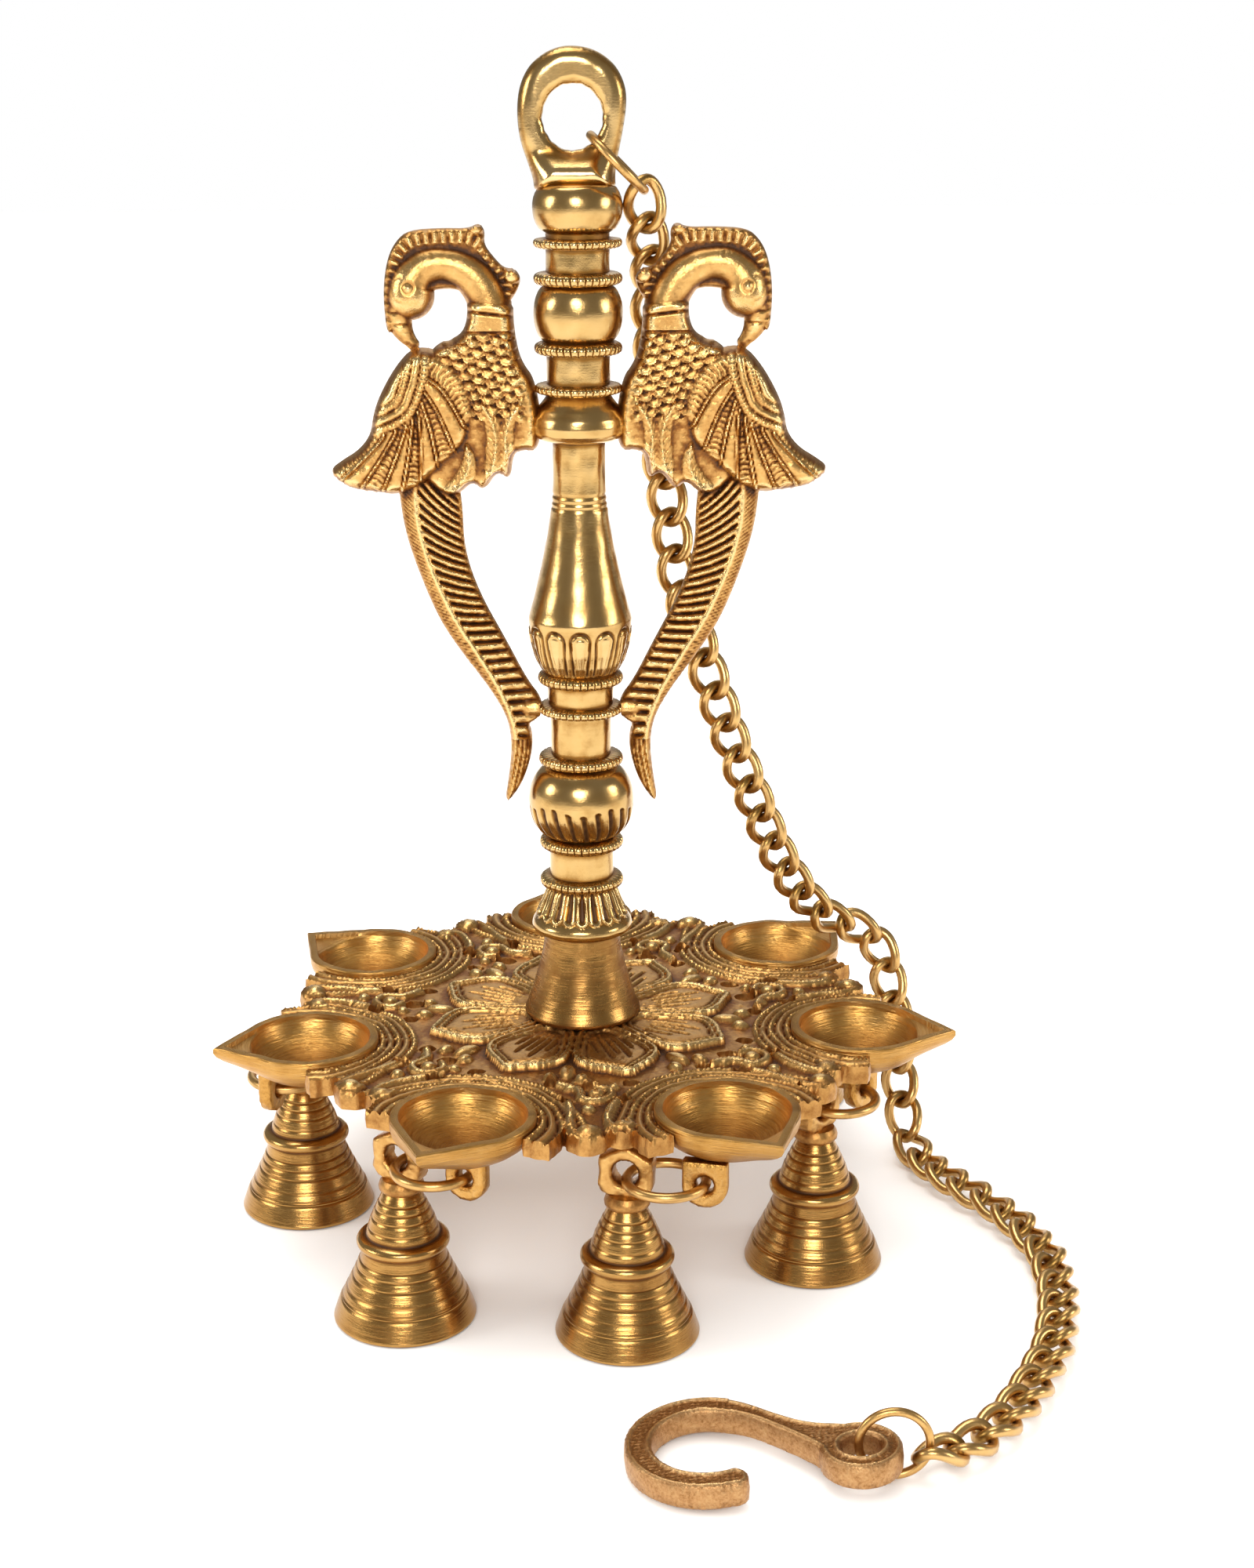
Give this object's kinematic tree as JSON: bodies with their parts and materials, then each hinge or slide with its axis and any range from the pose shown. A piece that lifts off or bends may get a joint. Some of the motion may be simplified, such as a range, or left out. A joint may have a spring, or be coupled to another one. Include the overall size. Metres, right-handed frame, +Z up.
{
  "type": "hanging oil lamp with bells",
  "caption": "Cast brass oil lamp: turned pillar with a bird on each side, an openwork plate of spouted cups, bells on rings below, and a chain with a hook.",
  "frame": {"origin": "on the surface the lamp stands on, at the pillar's axis, in the plane of the seven bell mouths", "axes": "+Z up along the pillar, X through the two birds, -Y towards the front"},
  "size_m": [0.2391, 0.2718, 0.3304],
  "materials": {
    "polished_brass": "turned and polished, lacquered",
    "cast_brass": "sand cast and hand chased, brown in the recesses",
    "turned_brass": "turned, with fine circular tool marks",
    "bell_brass": "turned, with scored bands and a brown lacquer",
    "wire_brass": "drawn wire, dull",
    "plain_brass": "as machined"
  },
  "bodies": {
    "root": {"stem": "polished_brass", "foot_cone": "cast_brass", "tie_stud": "plain_brass", "washer": "plain_brass", "nut": "plain_brass", "plate": "cast_brass", "peacock_left": "cast_brass", "peacock_right": "cast_brass", "diya_1": "turned_brass", "diya_2": "turned_brass", "diya_3": "turned_brass", "diya_4": "turned_brass", "diya_5": "turned_brass", "diya_6": "turned_brass", "diya_7": "turned_brass", "chain": "wire_brass"},
    "jump_ring_1": {"jump_ring_1": "wire_brass"},
    "bell_1": {"bell_1": "bell_brass", "bell_eye_1": "cast_brass"},
    "clapper_1": {"clapper_1": "plain_brass"},
    "jump_ring_2": {"jump_ring_2": "wire_brass"},
    "bell_2": {"bell_2": "bell_brass", "bell_eye_2": "cast_brass"},
    "clapper_2": {"clapper_2": "plain_brass"},
    "jump_ring_3": {"jump_ring_3": "wire_brass"},
    "bell_3": {"bell_3": "bell_brass", "bell_eye_3": "cast_brass"},
    "clapper_3": {"clapper_3": "plain_brass"},
    "jump_ring_4": {"jump_ring_4": "wire_brass"},
    "bell_4": {"bell_4": "bell_brass", "bell_eye_4": "cast_brass"},
    "clapper_4": {"clapper_4": "plain_brass"},
    "jump_ring_5": {"jump_ring_5": "wire_brass"},
    "bell_5": {"bell_5": "bell_brass", "bell_eye_5": "cast_brass"},
    "clapper_5": {"clapper_5": "plain_brass"},
    "jump_ring_6": {"jump_ring_6": "wire_brass"},
    "bell_6": {"bell_6": "bell_brass", "bell_eye_6": "cast_brass"},
    "clapper_6": {"clapper_6": "plain_brass"},
    "jump_ring_7": {"jump_ring_7": "wire_brass"},
    "bell_7": {"bell_7": "bell_brass", "bell_eye_7": "cast_brass"},
    "clapper_7": {"clapper_7": "plain_brass"},
    "chain_top_ring": {"chain_top_ring": "wire_brass"},
    "hook_ring": {"hook_ring": "wire_brass"},
    "hook": {"hook": "cast_brass"}
  },
  "joints": [
    {"name": "ring_1_drop", "type": "hinge", "parent": "root", "child": "jump_ring_1", "pos_m": [0.03184, -0.08204, 0.0453], "axis": [-0.2383, -0.9712, 0], "range_deg": [0, 85]},
    {"name": "bell_1_hang", "type": "hinge", "parent": "jump_ring_1", "child": "bell_1", "pos_m": [0.01145, -0.07703, 0.0453], "axis": [-0.2383, -0.9712, 0], "range_deg": [-85, 0]},
    {"name": "clapper_1_swing", "type": "hinge", "parent": "bell_1", "child": "clapper_1", "pos_m": [0.01145, -0.07703, 0.0237], "axis": [-0.2383, -0.9712, 0], "range_deg": [-20, 20]},
    {"name": "ring_2_drop", "type": "hinge", "parent": "root", "child": "jump_ring_2", "pos_m": [0.07926, -0.02103, 0.0453], "axis": [0.739, -0.6737, 0], "range_deg": [0, 85]},
    {"name": "bell_2_hang", "type": "hinge", "parent": "jump_ring_2", "child": "bell_2", "pos_m": [0.06511, -0.03654, 0.0453], "axis": [0.739, -0.6737, 0], "range_deg": [-85, 0]},
    {"name": "clapper_2_swing", "type": "hinge", "parent": "bell_2", "child": "clapper_2", "pos_m": [0.06511, -0.03654, 0.0237], "axis": [0.739, -0.6737, 0], "range_deg": [-20, 20]},
    {"name": "ring_3_drop", "type": "hinge", "parent": "root", "child": "jump_ring_3", "pos_m": [0.07085, 0.0555, 0.0453], "axis": [-0.9814, -0.192, 0], "range_deg": [0, 85]},
    {"name": "bell_3_hang", "type": "hinge", "parent": "jump_ring_3", "child": "bell_3", "pos_m": [0.06682, 0.07611, 0.0453], "axis": [-0.9814, -0.192, 0], "range_deg": [-85, 0]},
    {"name": "clapper_3_swing", "type": "hinge", "parent": "bell_3", "child": "clapper_3", "pos_m": [0.06682, 0.07611, 0.0237], "axis": [-0.9814, -0.192, 0], "range_deg": [-20, 20]},
    {"name": "ring_4_drop", "type": "hinge", "parent": "root", "child": "jump_ring_4", "pos_m": [0.00078, 0.09, 0.0453], "axis": [0.5225, 0.8526, 0], "range_deg": [0, 85]},
    {"name": "bell_4_hang", "type": "hinge", "parent": "jump_ring_4", "child": "bell_4", "pos_m": [0.01869, 0.07902, 0.0453], "axis": [0.5225, 0.8526, 0], "range_deg": [-85, 0]},
    {"name": "clapper_4_swing", "type": "hinge", "parent": "bell_4", "child": "clapper_4", "pos_m": [0.01869, 0.07902, 0.0237], "axis": [0.5225, 0.8526, 0], "range_deg": [-20, 20]},
    {"name": "ring_5_drop", "type": "hinge", "parent": "root", "child": "jump_ring_5", "pos_m": [-0.06987, 0.05673, 0.0453], "axis": [-0.3409, 0.9401, 0], "range_deg": [0, 85]},
    {"name": "bell_5_hang", "type": "hinge", "parent": "jump_ring_5", "child": "bell_5", "pos_m": [-0.05013, 0.06388, 0.0453], "axis": [-0.3409, 0.9401, 0], "range_deg": [-85, 0]},
    {"name": "clapper_5_swing", "type": "hinge", "parent": "bell_5", "child": "clapper_5", "pos_m": [-0.05013, 0.06388, 0.0237], "axis": [-0.3409, 0.9401, 0], "range_deg": [-20, 20]},
    {"name": "ring_6_drop", "type": "hinge", "parent": "root", "child": "jump_ring_6", "pos_m": [-0.08889, -0.01947, 0.0453], "axis": [-0.953, 0.3031, 0], "range_deg": [0, 85]},
    {"name": "bell_6_hang", "type": "hinge", "parent": "jump_ring_6", "child": "bell_6", "pos_m": [-0.08253, 0.00054, 0.0453], "axis": [-0.953, 0.3031, 0], "range_deg": [-85, 0]},
    {"name": "clapper_6_swing", "type": "hinge", "parent": "bell_6", "child": "clapper_6", "pos_m": [-0.08253, 0.00054, 0.0237], "axis": [-0.953, 0.3031, 0], "range_deg": [-20, 20]},
    {"name": "ring_7_drop", "type": "hinge", "parent": "root", "child": "jump_ring_7", "pos_m": [-0.03071, -0.07711, 0.0453], "axis": [-0.4881, -0.8728, 0], "range_deg": [0, 85]},
    {"name": "bell_7_hang", "type": "hinge", "parent": "jump_ring_7", "child": "bell_7", "pos_m": [-0.04904, -0.06686, 0.0453], "axis": [-0.4881, -0.8728, 0], "range_deg": [-85, 0]},
    {"name": "clapper_7_swing", "type": "hinge", "parent": "bell_7", "child": "clapper_7", "pos_m": [-0.04904, -0.06686, 0.0237], "axis": [-0.4881, -0.8728, 0], "range_deg": [-20, 20]},
    {"name": "chain_top_ring_twist", "type": "hinge", "parent": "root", "child": "chain_top_ring", "pos_m": [0.01067, 0, 0.30123], "axis": [0.7071, 0, -0.7071], "range_deg": [-15, 15]},
    {"name": "hook_ring_lean", "type": "hinge", "parent": "root", "child": "hook_ring", "pos_m": [0.0741, -0.149, 0.0097], "axis": [1, 0, 0], "range_deg": [-3, 12]},
    {"name": "hook_swing", "type": "hinge", "parent": "root", "child": "hook", "pos_m": [0.06642, -0.149, 0.005], "axis": [0, 0, 1], "range_deg": [-30, 30]}
  ],
  "couplings": [
    {"joint": "bell_1_hang", "follows": "ring_1_drop", "ratio": -1},
    {"joint": "bell_2_hang", "follows": "ring_2_drop", "ratio": -1},
    {"joint": "bell_3_hang", "follows": "ring_3_drop", "ratio": -1},
    {"joint": "bell_4_hang", "follows": "ring_4_drop", "ratio": -1},
    {"joint": "bell_5_hang", "follows": "ring_5_drop", "ratio": -1},
    {"joint": "bell_6_hang", "follows": "ring_6_drop", "ratio": -1},
    {"joint": "bell_7_hang", "follows": "ring_7_drop", "ratio": -1}
  ]
}
